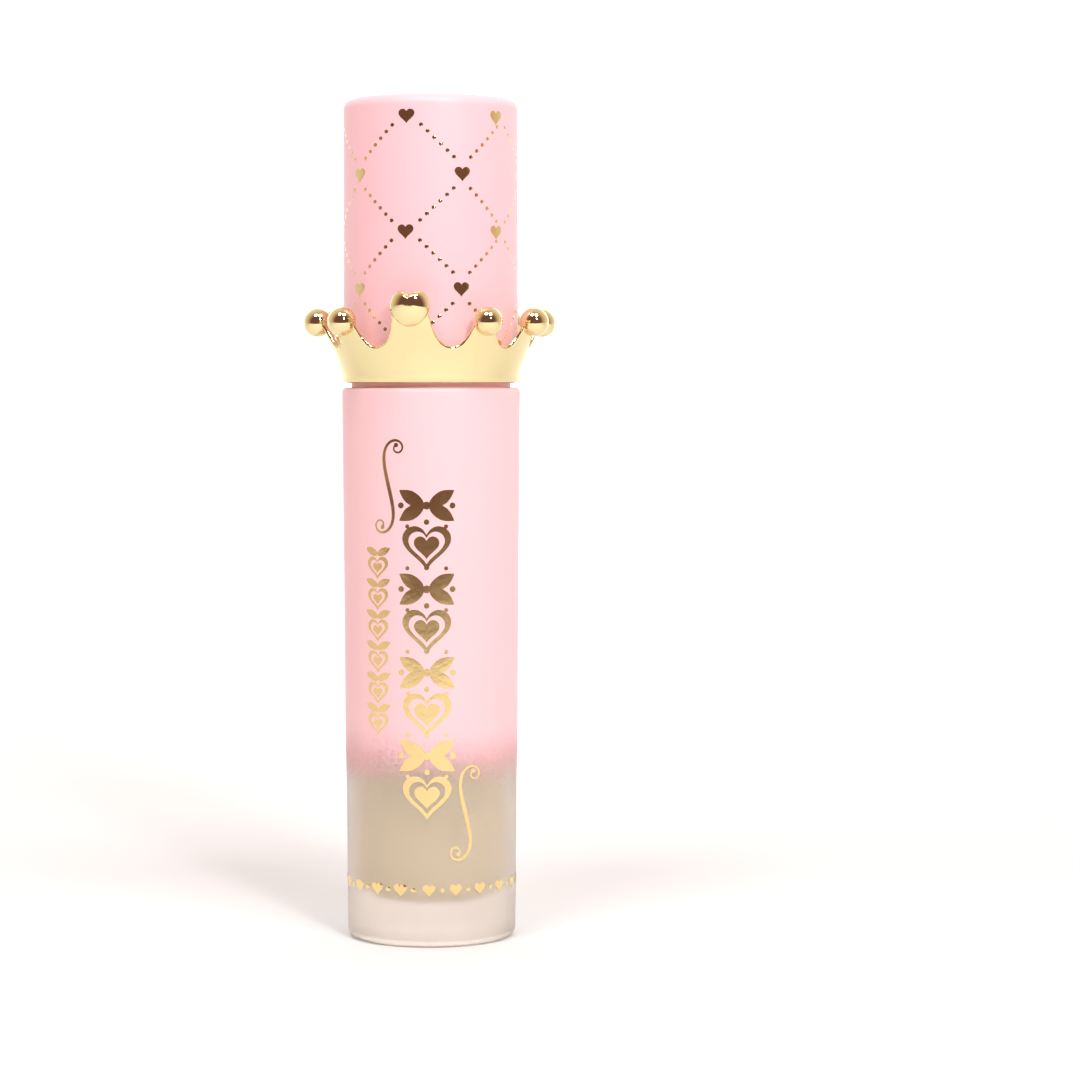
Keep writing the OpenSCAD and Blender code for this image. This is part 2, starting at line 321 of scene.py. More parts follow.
def height_mask_group():
    """1 above a height and 0 below another, ragged like sprayed paint, smooth or as droplets."""
    if "Spray Line" in bpy.data.node_groups:
        return bpy.data.node_groups["Spray Line"]
    group, source, sink = node_group(
        "Spray Line",
        [("Full Above", "NodeSocketFloat", 0.03), ("None Below", "NodeSocketFloat", 0.02),
         ("Raggedness", "NodeSocketFloat", 0.001), ("Droplet", "NodeSocketFloat", 0.00005)],
        [("Mask", "NodeSocketFloat"), ("Droplets", "NodeSocketFloat")])
    place = add_node(group, "ShaderNodeTexCoord").outputs["Object"]
    height = add_node(group, "ShaderNodeSeparateXYZ", [(0, place)]).outputs["Z"]
    cloud = add_node(group, "ShaderNodeTexNoise", [("Vector", place), ("Scale", 180.0), ("Detail", 6.0)])
    shift = calculated(group, "SUBTRACT", cloud.outputs[0], 0.5)
    moved = calculated(group, "MULTIPLY_ADD", shift, source.outputs["Raggedness"], height)
    ramp = add_node(group, "ShaderNodeMapRange",
                    [("Value", moved), ("From Min", source.outputs["None Below"]),
                     ("From Max", source.outputs["Full Above"])], interpolation_type="SMOOTHERSTEP")
    grid = add_node(group, "ShaderNodeCombineXYZ", [(k, source.outputs["Droplet"]) for k in range(3)])
    cell = calculated(group, "SNAP", place, grid.outputs[0], kind="ShaderNodeVectorMath")
    chance = add_node(group, "ShaderNodeTexWhiteNoise", [("Vector", cell)])
    drops = calculated(group, "LESS_THAN", chance.outputs["Value"], ramp.outputs["Result"])
    group.links.new(ramp.outputs["Result"], sink.inputs["Mask"])
    group.links.new(drops, sink.inputs["Droplets"])
    return group


def height_mask(tree, full, none, raggedness):
    """The spray line in a material: full above one height, none below another, in metres."""
    return add_node(tree, "ShaderNodeGroup", [("Full Above", full), ("None Below", none),
                                              ("Raggedness", raggedness)],
                    node_tree=height_mask_group())


def principled(name, color, **constants):
    """A material with one Principled shader, its constants set on the shader's own sockets."""
    material = bpy.data.materials.new(name)
    material.use_nodes = True
    shader = material.node_tree.nodes["Principled BSDF"]
    shader.inputs["Base Color"].default_value = (*color, 1)
    for socket, value in constants.items():
        shader.inputs[socket.replace("_", " ")].default_value = value
    return material, material.node_tree, shader


def grained(name, color, grain=0.0002, drift=0.01, bump=0.00001, tint=0.06, rough=(0.4, 0.1),
            **constants):
    """A moulded finish: grain in the bump, and drift in the colour and the roughness."""
    color = tuple(color)
    material, tree, shader = principled(name, color, **constants)
    group = add_node(tree, "ShaderNodeGroup", [("Grain Size", grain), ("Drift Size", drift)],
                     node_tree=grain_group())
    height = add_node(tree, "ShaderNodeBump",
                      [("Height", group.outputs["Height"]), ("Distance", bump), ("Strength", 1.0)])
    tree.links.new(height.outputs[0], shader.inputs["Normal"])
    roughness = calculated(tree, "MULTIPLY_ADD", group.outputs["Drift"], rough[1] * 2, rough[0])
    tree.links.new(roughness, shader.inputs["Roughness"])
    value = calculated(tree, "MULTIPLY_ADD", group.outputs["Drift"], tint * 2, 1.0)
    colour = add_node(tree, "ShaderNodeHueSaturation", [("Color", (*color, 1)), ("Value", value)])
    tree.links.new(colour.outputs[0], shader.inputs["Base Color"])
    return material, tree, shader


# ---------- what a user would change

class GlossTubeSizes(bpy.types.PropertyGroup):
    """Sizes of the details that the CAD frame does not carry."""

    segments: IntProperty(name="Segments", description="Sides of a turned surface", default=176, min=48)
    edge: FloatProperty(name="Edge", description="Radius of small broken edges", default=0.12 * MM,
                        unit="LENGTH", precision=5)
    coat: FloatProperty(name="Coat", description="Thickness of the sprayed pink coat", default=0.03 * MM,
                        unit="LENGTH", precision=5)
    fade_top: FloatProperty(name="Fade Top", description="Height above which the pink coat is full",
                            default=25.6 * MM, unit="LENGTH", precision=4)
    fade_foot: FloatProperty(name="Fade Foot", description="Height below which the pink coat is gone",
                             default=17 * MM, unit="LENGTH", precision=4)
    foil: FloatProperty(name="Foil", description="How far the foil stands proud", default=0.008 * MM,
                        unit="LENGTH", precision=5)
    lattice_pitch: FloatProperty(name="Lattice Pitch", description="Angle between columns of hearts",
                                 default=math.radians(36.9), subtype="ANGLE")
    lattice_rise: FloatProperty(name="Lattice Rise", description="Height between hearts of one column",
                                default=12.9 * MM, unit="LENGTH", precision=4)
    heart: FloatProperty(name="Foil Heart", description="Width of a foil heart on the cap",
                         default=1.84 * MM, unit="LENGTH", precision=5)
    dot: FloatProperty(name="Foil Dot", description="Diameter of a foil dot on the cap",
                       default=0.43 * MM, unit="LENGTH", precision=5)
    bead: FloatProperty(name="Bead", description="Diameter of the crown's beads", default=3.3 * MM,
                        unit="LENGTH", precision=4)
    fibres: IntProperty(name="Fibres", description="Number of flock fibres on the applicator",
                        default=7000, min=0)


class GlossTubeColours(bpy.types.PropertyGroup):
    """Colours of the finishes."""

    pink: FloatVectorProperty(name="Cap Pink", description="Soft-touch pink of the cap", subtype="COLOR",
                              default=srgb(250, 196, 203), min=0, max=1)
    coat: FloatVectorProperty(name="Vial Pink", description="Sprayed pink of the vial", subtype="COLOR",
                              default=srgb(251, 203, 208), min=0, max=1)
    plastic: FloatVectorProperty(name="Frosted Plastic", description="Tint of the vial", subtype="COLOR",
                                 default=srgb(247, 238, 229), min=0, max=1)
    gloss: FloatVectorProperty(name="Gloss", description="The lip gloss", subtype="COLOR",
                               default=srgb(252, 240, 198), min=0, max=1)
    gold: FloatVectorProperty(name="Gold", description="Gold plating", subtype="COLOR",
                              default=srgb(238, 224, 172), min=0, max=1)
    foil: FloatVectorProperty(name="Foil", description="Hot-stamped foil", subtype="COLOR",
                              default=srgb(240, 212, 150), min=0, max=1)
    white: FloatVectorProperty(name="White Plastic", description="Stem and wiper, half of the inner cap",
                               subtype="COLOR", default=srgb(220, 221, 227), min=0, max=1)
    flock: FloatVectorProperty(name="Flock", description="Applicator flock, wet with gloss",
                               subtype="COLOR", default=srgb(214, 207, 180), min=0, max=1)


def sizes():
    """The panel's sizes."""
    return bpy.context.scene.gloss_tube_sizes


def colours():
    """The panel's colours."""
    return bpy.context.scene.gloss_tube_colours


# ---------- vial, coat and gloss

THREAD = {"starts": 2, "height": 0.75, "turns": 0.8, "rise": 3.2, "root": 1.3, "crest": 0.6,
          "fade": 50.0}


def thread_height(angle, z):
    """Height of the neck's thread over the wall, at an angle in degrees and a height."""
    best = 0.0
    for start in range(THREAD["starts"]):
        along = (angle - 360 * start / THREAD["starts"]) % 360
        if along > 360 * THREAD["turns"]:
            continue
        off = abs(z - T.ring_top - THREAD["rise"] - joint_lead() * along / 360)
        fade = smooth(min(along, 360 * THREAD["turns"] - along) / THREAD["fade"])
        side = smooth((THREAD["root"] / 2 - off) / (THREAD["root"] / 2 - THREAD["crest"] / 2))
        best = max(best, float(side * fade))
    return best * THREAD["height"]


def cavity_profile(top, grow=0.0):
    """The cavity's outline from the middle of its floor up to height top."""
    corner = T.cavity_r - T.cavity_floor_r
    wall = T.bore_r if top > T.fill_z else T.fill_r
    return filleted([(0, T.floor_z - grow, 0), (T.cavity_r + grow, T.floor_z - grow, corner),
                     (wall + grow, top, 0)], steps=12)


def make_vial():
    """The thick-walled frosted vial with its locating ring and threaded neck."""
    edge = sizes().edge / MM
    outside = filleted([
        (0, T.hollow_z, 0), (T.hollow_r, T.hollow_z, edge), (T.hollow_r, 0, edge),
        (T.wall(0), 0, T.wall_low), (T.wall(T.shoulder_z), T.shoulder_z, T.shoulder_z - T.wall_top),
        (T.ring_r, T.shoulder_z, edge), (T.ring_r, T.ring_top, edge), (T.neck_r, T.ring_top, edge)])
    neck_rows = 90                  # enough for the thread's flanks
    neck = [(T.neck_r, z) for z in np.linspace(T.ring_top + 0.6, T.neck_top - 0.4, neck_rows)]
    lip = filleted([(T.neck_r, T.neck_top - 0.3, 0), (T.neck_r, T.neck_top, edge),
                    (T.bore_r, T.neck_top, edge), (T.bore_r, T.neck_top - 0.3, 0)])
    inside = cavity_profile(T.neck_top - 0.6)[::-1]
    points, faces = revolve(outside + neck + lip + inside, sizes().segments)
    for i, (x, y, z) in enumerate(points):
        r = math.hypot(x, y)
        if abs(r - T.neck_r) < 1e-4 and T.ring_top + 0.5 < z < T.neck_top - 0.35:
            grown = 1 + thread_height(math.degrees(math.atan2(x, -y)), z) / r
            points[i] = (x * grown, y * grown, z)
    material, _, _ = grained("Frosted Vial Plastic", colours().plastic, grain=0.00025, bump=0.000012,
                             tint=0.01, rough=(0.34, 0.04), Transmission_Weight=0.78, IOR=1.55)
    new_piece("vial_body", points, faces, "vial", material, "vial_plastic", ["vial"], sharp=50)


def make_coat():
    """The sprayed pink coat, a thin skin that fades out towards the foot."""
    low, corner = T.wall_low + 10, T.shoulder_z - T.wall_top
    path = [(T.wall(low), low, 0), (T.wall(T.shoulder_z), T.shoulder_z, corner),
            (T.ring_r, T.shoulder_z, 0.1), (T.ring_r, T.ring_top - 0.3, 0)]

    def skin(offset):
        """The path moved out by an offset, over the shoulder too."""
        out = []
        for r, z, fillet in path:
            raised = offset if r > T.ring_r + 0.01 and z > low else 0
            out.append((r + offset, z + raised, fillet + (offset if fillet == corner else 0)))
        return filleted(out, steps=8)

    outer, inner = skin(COAT_GAP + sizes().coat / MM), skin(COAT_GAP)
    wall_out = [tuple(np.array(outer[0]) + (np.array(outer[1]) - outer[0]) * s)
                for s in np.linspace(0, 1, 40)[1:-1]]
    points, faces = revolve([outer[0]] + wall_out + outer[1:] + inner[::-1], sizes().segments, ring=True)
    material, tree, shader = grained("Sprayed Pink Coat", colours().coat, grain=0.0002,
                                     bump=0.000006, tint=0.015, rough=(0.5, 0.05))
    mask = height_mask(tree, sizes().fade_top, sizes().fade_foot, 0.002)
    tree.links.new(mask.outputs["Droplets"], shader.inputs["Alpha"])
    new_piece("vial_pink_coat", points, faces, "vial", material, sharp=50)


def make_gloss():
    """The gloss, which wets the cavity's wall."""
    wet, meniscus, wand_share = 0.03, 0.5, 0.8
    profile = cavity_profile(T.fill_z, wet)
    side = profile[-1][0]
    sag = [(side * math.sin(a), T.fill_z - meniscus * math.cos(a))
           for a in np.linspace(math.pi / 2, 0, 9)[1:]]
    points, faces = revolve(profile + sag[:-1] + [(0, T.fill_z - meniscus)], sizes().segments)
    material, _, _ = grained("Beige Gloss", colours().gloss, grain=0.004, drift=0.012, bump=0.0,
                             tint=0.03, rough=(0.12, 0.02), Coat_Weight=0.3)
    obj = new_piece("gloss_fill", points, faces, "vial", material, "gloss_fluid", ["gloss"])
    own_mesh(obj)


# ---------- foil

def heart_outline(width, count=28, plump=0.12):
    """A heart, point down, as points round (0, 0); plump draws it towards a circle."""
    out = []
    for t in np.linspace(0, math.tau, count, endpoint=False):
        x = 16 * math.sin(t) ** 3
        y = 13 * math.cos(t) - 5 * math.cos(2 * t) - 2 * math.cos(3 * t) - math.cos(4 * t) + 2.5
        out.append(((1 - plump) * x + plump * 15 * math.sin(t),
                    (1 - plump) * y + plump * 13 * math.cos(t)))
    out = np.array(out)
    return out * width / np.ptp(out[:, 0])


def oval_outline(width, height, count=12, point=0.0):
    """An oval, or with point above 0 a leaf whose upper end comes to a tip."""
    out = []
    for t in np.linspace(0, math.tau, count, endpoint=False):
        pinch = 1 - point * max(0.0, math.cos(t)) ** 2
        out.append((width / 2 * math.sin(t) * pinch, height / 2 * math.cos(t)))
    return np.array(out)


def turned(outline, degrees):
    """An outline turned anticlockwise."""
    a = math.radians(degrees)
    return outline @ np.array([[math.cos(a), math.sin(a)], [-math.sin(a), math.cos(a)]])


class Foil(Parts):
    """Foil motifs laid on a round wall, each a thin closed plate that follows the curve."""

    def __init__(self, wall, proud):
        super().__init__()
        self.wall, self.proud = wall, proud

    def place(self, u, z, lift, angle=0.0):
        return on_wall(u, z, self.wall(z) + lift, angle)

    def plate(self, outline, u, z, rings=3, hole=0.0, angle=0.0):
        """A motif that is star-shaped about (0, 0), its middle at arc length u and height z."""
        count, shares = len(outline), np.linspace(1, hole, rings + 1)
        shares = shares if hole else shares[:-1]
        points = [self.place(u + x * s, z + y * s, lift, angle)
                  for lift in (self.proud, -FOIL_SINK) for s in shares for x, y in outline]
        back = len(shares) * count
        faces = grid_faces(len(shares), count, wrap=True)
        faces += [[i + back for i in f] for f in faces]
        faces += grid_between(0, back, count)
        inner = back - count
        if hole:
            faces += grid_between(inner, back + inner, count)
        else:
            points += [self.place(u, z, lift, angle) for lift in (self.proud, -FOIL_SINK)]
            for start, tip in ((inner, 2 * back), (back + inner, 2 * back + 1)):
                faces += [[start + k, start + (k + 1) % count, tip] for k in range(count)]
        self.add(points, faces)

    def stroke(self, path, widths):
        """A ribbon along a path of (u, z) points, with its width at each."""
        path = np.array(path, float)
        along = np.gradient(path, axis=0)
        along /= np.linalg.norm(along, axis=1)[:, None]
        side = np.stack([-along[:, 1], along[:, 0]], 1) * np.array(widths)[:, None] / 2
        points = []
        for lift in (self.proud, -FOIL_SINK):
            for sign in (1, -1):
                points += [self.place(u, z, lift) for u, z in path + side * sign]
        n = len(path)
        faces = []
        for a, b in ((0, n), (n, 3 * n), (3 * n, 2 * n), (2 * n, 0)):
            faces += [[a + i, a + i + 1, b + i + 1, b + i] for i in range(n - 1)]
        faces += [[0, n, 3 * n, 2 * n], [n - 1, 2 * n - 1, 4 * n - 1, 3 * n - 1]]
        self.add(points, faces)

    def make_piece(self, name, body, label):
        """One piece of hot-stamped foil: bright metal with the faint ripple of what is under it."""
        material, _, _ = grained(label, colours().foil, grain=0.0006, drift=0.004, bump=0.000004,
                                 tint=0.05, rough=(0.14, 0.04), Metallic=1.0)
        new_piece(name, self.points, self.faces, body, material, "gold_plating", sharp=25)


def make_cap_foil():
    """The diamond lattice of dots with a heart at each crossing, round the cap."""
    rise, heart = sizes().lattice_rise / MM, heart_outline(sizes().heart / MM)
    dot = oval_outline(sizes().dot / MM, sizes().dot / MM, 12)
    top_heart, seam, columns, rows, dots = 94.0, 49.4, 10, 4, 6
    first_dot, next_dot, heart_drop = (1.68, 1.12), (0.752, 0.716), 0.13
    low, high = T.shell_z + 1.2, top_heart + 0.5
    foil = Foil(lambda z: T.cap_r - CAP_DRAFT * (z - T.shell_z) / (T.cap_top - T.shell_z),
                sizes().foil / MM)
    around = math.tau * T.cap_r
    pitch = sizes().lattice_pitch * T.cap_r
    for column in range(columns):
        start = top_heart - (rise / 2 if column % 2 else 0)
        steps = [(first_dot[0] + next_dot[0] * k, first_dot[1] + next_dot[1] * k) for k in range(dots)]
        if column % 2:
            steps = [(pitch - du, rise / 2 - dz) for du, dz in steps]
        for row in range(rows):
            z, u = start - rise * row, column * pitch
            if low < z:
                foil.plate(heart, u, z - heart_drop, angle=seam)
            for du, dz in steps + [(du, -dz) for du, dz in steps]:
                if u + du < around - 0.1 and low < z + dz < high:
                    foil.plate(dot, u + du, z + dz, rings=1, angle=seam)
    foil.make_piece("cap_foil", "cap", "Cap Foil")


def curl(height, lean, tight=7.6, count=120):
    """An S-shaped curl about (0, 0): its bend grows towards both ends, and reverses in the middle."""
    steps = np.linspace(-1, 1, count)
    heading = tight * (np.abs(steps) ** 3.2)
    line = np.cumsum(np.stack([np.sin(heading), np.cos(heading)], 1), 0)
    line -= (line[0] + line[-1]) / 2
    line = turned(line, lean)
    return line * height / np.ptp(line[:, 1])


def swelling(count, thin, thick):
    """Widths that swell from thin to thick and back along a stroke."""
    return [thin + (thick - thin) * math.sin(math.pi * s) ** 2 for s in np.linspace(0, 1, count)]


def make_vial_foil():
    """A foil ornament down the vial's front: hearts, leaves and curls, and a ring at the foot."""
    foil = Foil(T.coated, sizes().foil / MM)
    leaf, small_leaf = oval_outline(1.55, 3.3, 18, point=0.7), oval_outline(0.9, 1.9, 12, point=0.7)
    heart, little = heart_outline(5.6, 44), heart_outline(2.9, 32)
    bead = oval_outline(0.7, 0.7, 12)
    middle, step, low, count = -0.2, 4.72, 17.2, 8
    left, left_low, left_step, left_count = -6.2, 25.4, 3.55, 6
    ring_z, ring = 6.6, 40
    for k in range(count):
        z = low + step * k
        if k % 2 == 0:
            foil.plate(heart, middle, z, rings=2, hole=0.74)
            foil.plate(heart * 0.52, middle, z, rings=4)
        else:
            for side in (-1, 1):
                for lean in (58, 122):
                    up = math.cos(math.radians(lean))
                    foil.plate(turned(leaf, -side * lean), middle + side * 1.75, z + 1.6 * up,
                               rings=4)
                foil.plate(bead, middle + side * 2.95, z, rings=2)
            foil.plate(bead * 1.3, middle, z, rings=2)
        if k < count - 1:
            for side in (-1, 1):
                foil.plate(bead * 0.7, middle + side * 2.2, z + step / 2, rings=1)
            foil.plate(bead * 0.9, middle, z + step / 2 + (0.1 if k % 2 else 0.5), rings=1)
    for k in range(left_count):
        z = left_low + left_step * k
        foil.plate(little, left, z, rings=2, hole=0.7)
        foil.plate(little * 0.45, left, z, rings=2)
        for side in (-1, 1):
            foil.plate(turned(small_leaf, -side * 66), left + side * 0.85, z + 1.85, rings=2)
    for u, z, height, lean in ((-4.6, 52.4, 10.4, 14), (4.3, 15.4, 10.6, 14)):
        path = curl(height, lean) + np.array([u, z])
        foil.stroke(path, swelling(len(path), 0.2, 0.46))
        for end in (path[0], path[-1]):
            foil.plate(bead * 0.75, end[0], end[1], rings=1)
    around, tiny = math.tau * T.wall(ring_z), heart_outline(1.5, 20)
    for k in range(ring):
        foil.plate(bead * 0.7 if k % 2 else tiny, around * k / ring, ring_z, rings=2)
    foil.make_piece("vial_foil", "vial", "Vial Foil")


# ---------- cap and crown

def make_cap_shell():
    """The pink shell, with a broken lower edge, a rounded top edge and a hollow inside."""
    edge, top_edge, roof_corner = sizes().edge / MM, 1.2, 0.6
    profile = filleted([
        (0, T.cap_top, 0), (T.cap_r - CAP_DRAFT, T.cap_top, top_edge), (T.cap_r, T.shell_z, edge),
        (T.shell_bore_r, T.shell_z, edge), (T.shell_bore_r, T.shell_roof, roof_corner),
        (0, T.shell_roof, 0)], steps=12)
    points, faces = revolve(profile, sizes().segments)
    material, _, _ = grained("Soft-touch Pink", colours().pink, grain=0.00016, bump=0.000005,
                             tint=0.012, rough=(0.46, 0.03), Sheen_Weight=0.12, Sheen_Roughness=0.5)
    new_piece("cap_shell_pink", points, faces, "cap", material, "cap_plastic", ["cap_shell"], sharp=50)


CROWN = {                           # angles in degrees, the rest in mm
    "points": 10, "heart_arc": 45.0, "heart_angle": -8.5,
    "foot_gap": 0.22, "reach": 2.75, "lean": 0.15, "straight_from": 6.2, "straight_lean": 0.34,
    "wall": 0.8, "rim": 0.5, "valley": 4.1, "valley_w": 2.6, "heart_valley_w": 2.85, "valley_d": 3.6,
    "bead": 6.9, "rise": 1.5, "heart_w": 4.5, "heart_h": 4.3, "heart_depth": 1.5,
    "crest": 0.8,                   # from the heart's middle up to where it stands out most
}


def crown_radius(h):
    """Outer radius of the crown at height h over its lower edge: a curve, then a straight lean."""
    bow = (CROWN["reach"] - CROWN["lean"] * CROWN["bead"]) / CROWN["bead"] ** 2
    bend = min(h, CROWN["straight_from"])
    return (T.cap_r + CROWN["foot_gap"] + CROWN["lean"] * bend + bow * bend * bend
            + CROWN["straight_lean"] * (h - bend))


def crown_ring():
    """Radius of the circle that the beads sit on."""
    return T.cap_r + CROWN["foot_gap"] + CROWN["reach"]


def tooth_arc():
    """Angle in degrees that each tooth but the heart's takes up."""
    return (360 - CROWN["heart_arc"]) / (CROWN["points"] - 1)


def tooth_angles():
    """Angle of each tooth of the crown in degrees, the heart's first."""
    first = CROWN["heart_angle"] + (CROWN["heart_arc"] + tooth_arc()) / 2
    return [CROWN["heart_angle"]] + [first + tooth_arc() * k for k in range(CROWN["points"] - 1)]


def crown_spine():
    """The middle line of the crown's rim once round: foot angle, rim angle (radians) and height."""
    ring, half = crown_ring(), CROWN["rim"] / 2
    low, depth, out = CROWN["valley"] - half, CROWN["valley_d"] + half, []
    for k, tooth in enumerate(tooth_angles()):
        reach = math.radians((tooth_arc() if k else CROWN["heart_arc"]) / 2)
        valley = CROWN["valley_w" if k else "heart_valley_w"] + half
        side = [(valley * math.sin(t) / ring - reach, low + depth * (1 - math.cos(t)))
                for t in np.linspace(0, math.pi / 2, 16)[:-1]]
        crest = reach * ring - valley
        top = [(crest * math.cos(t) / ring, low + 0.9 * depth + 0.7 * crest * math.sin(t))
               for t in np.linspace(math.pi, 0, 11)]
        tooth_line = side + top + [(-u, h) for u, h in side[:0:-1]]
        for n, (u, h) in enumerate(tooth_line):
            foot = reach * (2 * n / len(tooth_line) - 1)
            out.append((math.radians(tooth) + foot, math.radians(tooth) + u, h))
    return out


def crown_sheet():
    """The crown's wall: outer face, round rim along the spine, inner face and seat ring."""
    line = np.array(crown_spine())
    base, spine = line[:, 0], line[:, 1:]
    count, half, ring = len(spine), CROWN["rim"] / 2, crown_ring()
    flat = np.stack([spine[:, 0] * ring, spine[:, 1]], 1)
    ahead, behind = np.roll(flat, -1, 0), np.roll(flat, 1, 0)
    ahead[-1, 0] += math.tau * ring
    behind[0, 0] -= math.tau * ring
    along = ahead - behind
    along /= np.linalg.norm(along, axis=1)[:, None]
    out_way = np.stack([-along[:, 1], along[:, 0]], 1)
    seat, columns = T.shell_z - T.crown_z, []
    for start, (angle, h), (n_arc, n_h) in zip(base, spine, out_way):
        column = [(start, 0.0, T.shell_bore_r + 0.25), (start, 0.0, crown_radius(0) - 0.3),
                  (start, 0.09, crown_radius(0) - 0.09), (start, 0.3, crown_radius(0.3))]
        for s in np.linspace(0, 1, 16)[1:]:
            level = 0.3 + (h - 0.3) * s
            column.append((start + (angle - start) * smooth(s), level, crown_radius(level)))
        for a in np.linspace(0, math.pi, 8)[1:]:
            bulge = half * math.sin(a)
            column.append((angle + n_arc * bulge / ring, h + n_h * bulge,
                           crown_radius(h) - half + half * math.cos(a)))
        for s in np.linspace(0, 1, 13)[1:]:
            level = h + (seat - h) * s
            wall = CROWN["rim"] + (CROWN["wall"] - CROWN["rim"]) * smooth((h - level) / 1.5)
            column.append((angle + (start - angle) * smooth(s), level,
                           max(T.cap_r + 0.03, crown_radius(level) - wall)))
        column += [(start, seat, T.shell_bore_r + 0.08), (start, seat - 0.08, T.shell_bore_r),
                   (start, 0.25, T.shell_bore_r), (start, 0.07, T.shell_bore_r + 0.07)]
        columns.append([(r * math.sin(t), -r * math.cos(t), T.crown_z + z) for t, z, r in column])
    rows = len(columns[0])
    points = [column[k] for k in range(rows) for column in columns]
    faces = grid_faces(rows, count, wrap=True)
    last = (rows - 1) * count
    faces += [[last + i, last + (i + 1) % count, (i + 1) % count, i] for i in range(count)]
    return points, faces


def ball(centre, outline, depth, rings=24):
    """A puffy shape, a ball if its outline is round, whose silhouette from the front is that outline."""
    count = len(outline)
    points = [(0, -depth, 0)]
    for a in np.linspace(0, math.pi, rings + 1)[1:-1]:
        points += [(x * math.sin(a), -depth * math.cos(a), y * math.sin(a)) for x, y in outline]
    points.append((0, depth, 0))
    faces = [[0, 1 + k, 1 + (k + 1) % count] for k in range(count)]
    faces += [[i + 1 for i in f] for f in grid_faces(rings - 1, count, wrap=True)]
    base = 1 + (rings - 2) * count
    faces += [[base + (k + 1) % count, base + k, len(points) - 1] for k in range(count)]
    angle, reach, z = centre
    s, c = math.sin(math.radians(angle)), math.cos(math.radians(angle))
    placed = [(x * c - (y - reach) * s, x * s + (y - reach) * c, z + h) for x, y, h in points]
    return placed, faces


def puffy_heart(width, height, count=72):
    """The outline of a plump heart round its crest: an oval with a notch at its top."""
    out = []
    for t in np.linspace(-math.pi, math.pi, count, endpoint=False):
        notch = 0.27 * math.exp(-(t / 0.34) ** 2)
        lobes = 0.06 * math.exp(-((abs(t) - 0.75) / 0.4) ** 2)
        waist = 0.05 * math.exp(-((abs(t) - 2.3) / 0.4) ** 2)
        r = 1 - notch + lobes - waist
        out.append((width / 2 * r * math.sin(t), height / 2 * r * math.cos(t) - CROWN["crest"]))
    return np.array(out)


def make_crown():
    """The gold crown: wall, beads and heart moulded in one piece."""
    knobs, bead, bead_z = Parts(), sizes().bead / MM, T.crown_z + CROWN["bead"]
    for angle in tooth_angles()[1:]:
        knobs.add(*ball((angle, crown_ring(), bead_z), oval_outline(bead, bead, 40), bead / 2))
    heart_z = bead_z + CROWN["rise"] + CROWN["crest"]
    knobs.add(*ball((CROWN["heart_angle"], crown_ring(), heart_z),
                    puffy_heart(CROWN["heart_w"], CROWN["heart_h"]), CROWN["heart_depth"], rings=36))
    material, _, _ = grained("Gold Plating", colours().gold, grain=0.003, drift=0.006, bump=0.000006,
                             tint=0.02, rough=(0.07, 0.02), Metallic=1.0)
    crown = new_piece("crown_gold", *crown_sheet(), "cap", material, "gold_plating", ["crown"])
    operand = new_piece("crown_knobs", knobs.points, knobs.faces, "cap", material)
    union = crown.modifiers.new("Beads", "BOOLEAN")
    union.operation, union.solver, union.object = "UNION", "EXACT", operand
    bpy.context.view_layer.update()
    joined = bpy.data.meshes.new_from_object(crown.evaluated_get(bpy.context.evaluated_depsgraph_get()))
    crown.modifiers.clear()
    crown.data = joined
    bpy.data.objects.remove(operand)
    dress(crown, "cap", material, ["crown"], sharp=32)


# ---------- wand

def foot_section(s):
    """Half width, half thickness, side shift and front shift of the applicator, s from its tip."""
    flock_w, thin, stem, round_tip = 7.1, 3.4, T.stem_r + 0.1, 0.16
    tip = math.sqrt(1 - (1 - s / round_tip) ** 2) if s < round_tip else 1.0
    waist = math.sin(math.pi / 2 * min(1.0, max(0.0, (s - 0.2) / 0.5))) ** 2
    slope = math.sin(math.pi / 2 * min(1.0, s / 0.9)) ** 2
    width = (flock_w / 2 + (stem - flock_w / 2) * waist) * tip
    depth = (thin / 2 + (stem - thin / 2) * slope) * tip
    return width, depth, -0.55 * (1 - waist), 0.75 * (1 - slope)


def foot_point(s, a, lift=0.0):
    """A point of the applicator's surface at share s of its length and angle a."""
    w, d, side, front = foot_section(s)
    z = T.tip_z + (T.flock_top - T.tip_z) * s
    return side + (w + lift) * math.cos(a), -front + (d + lift) * math.sin(a), z


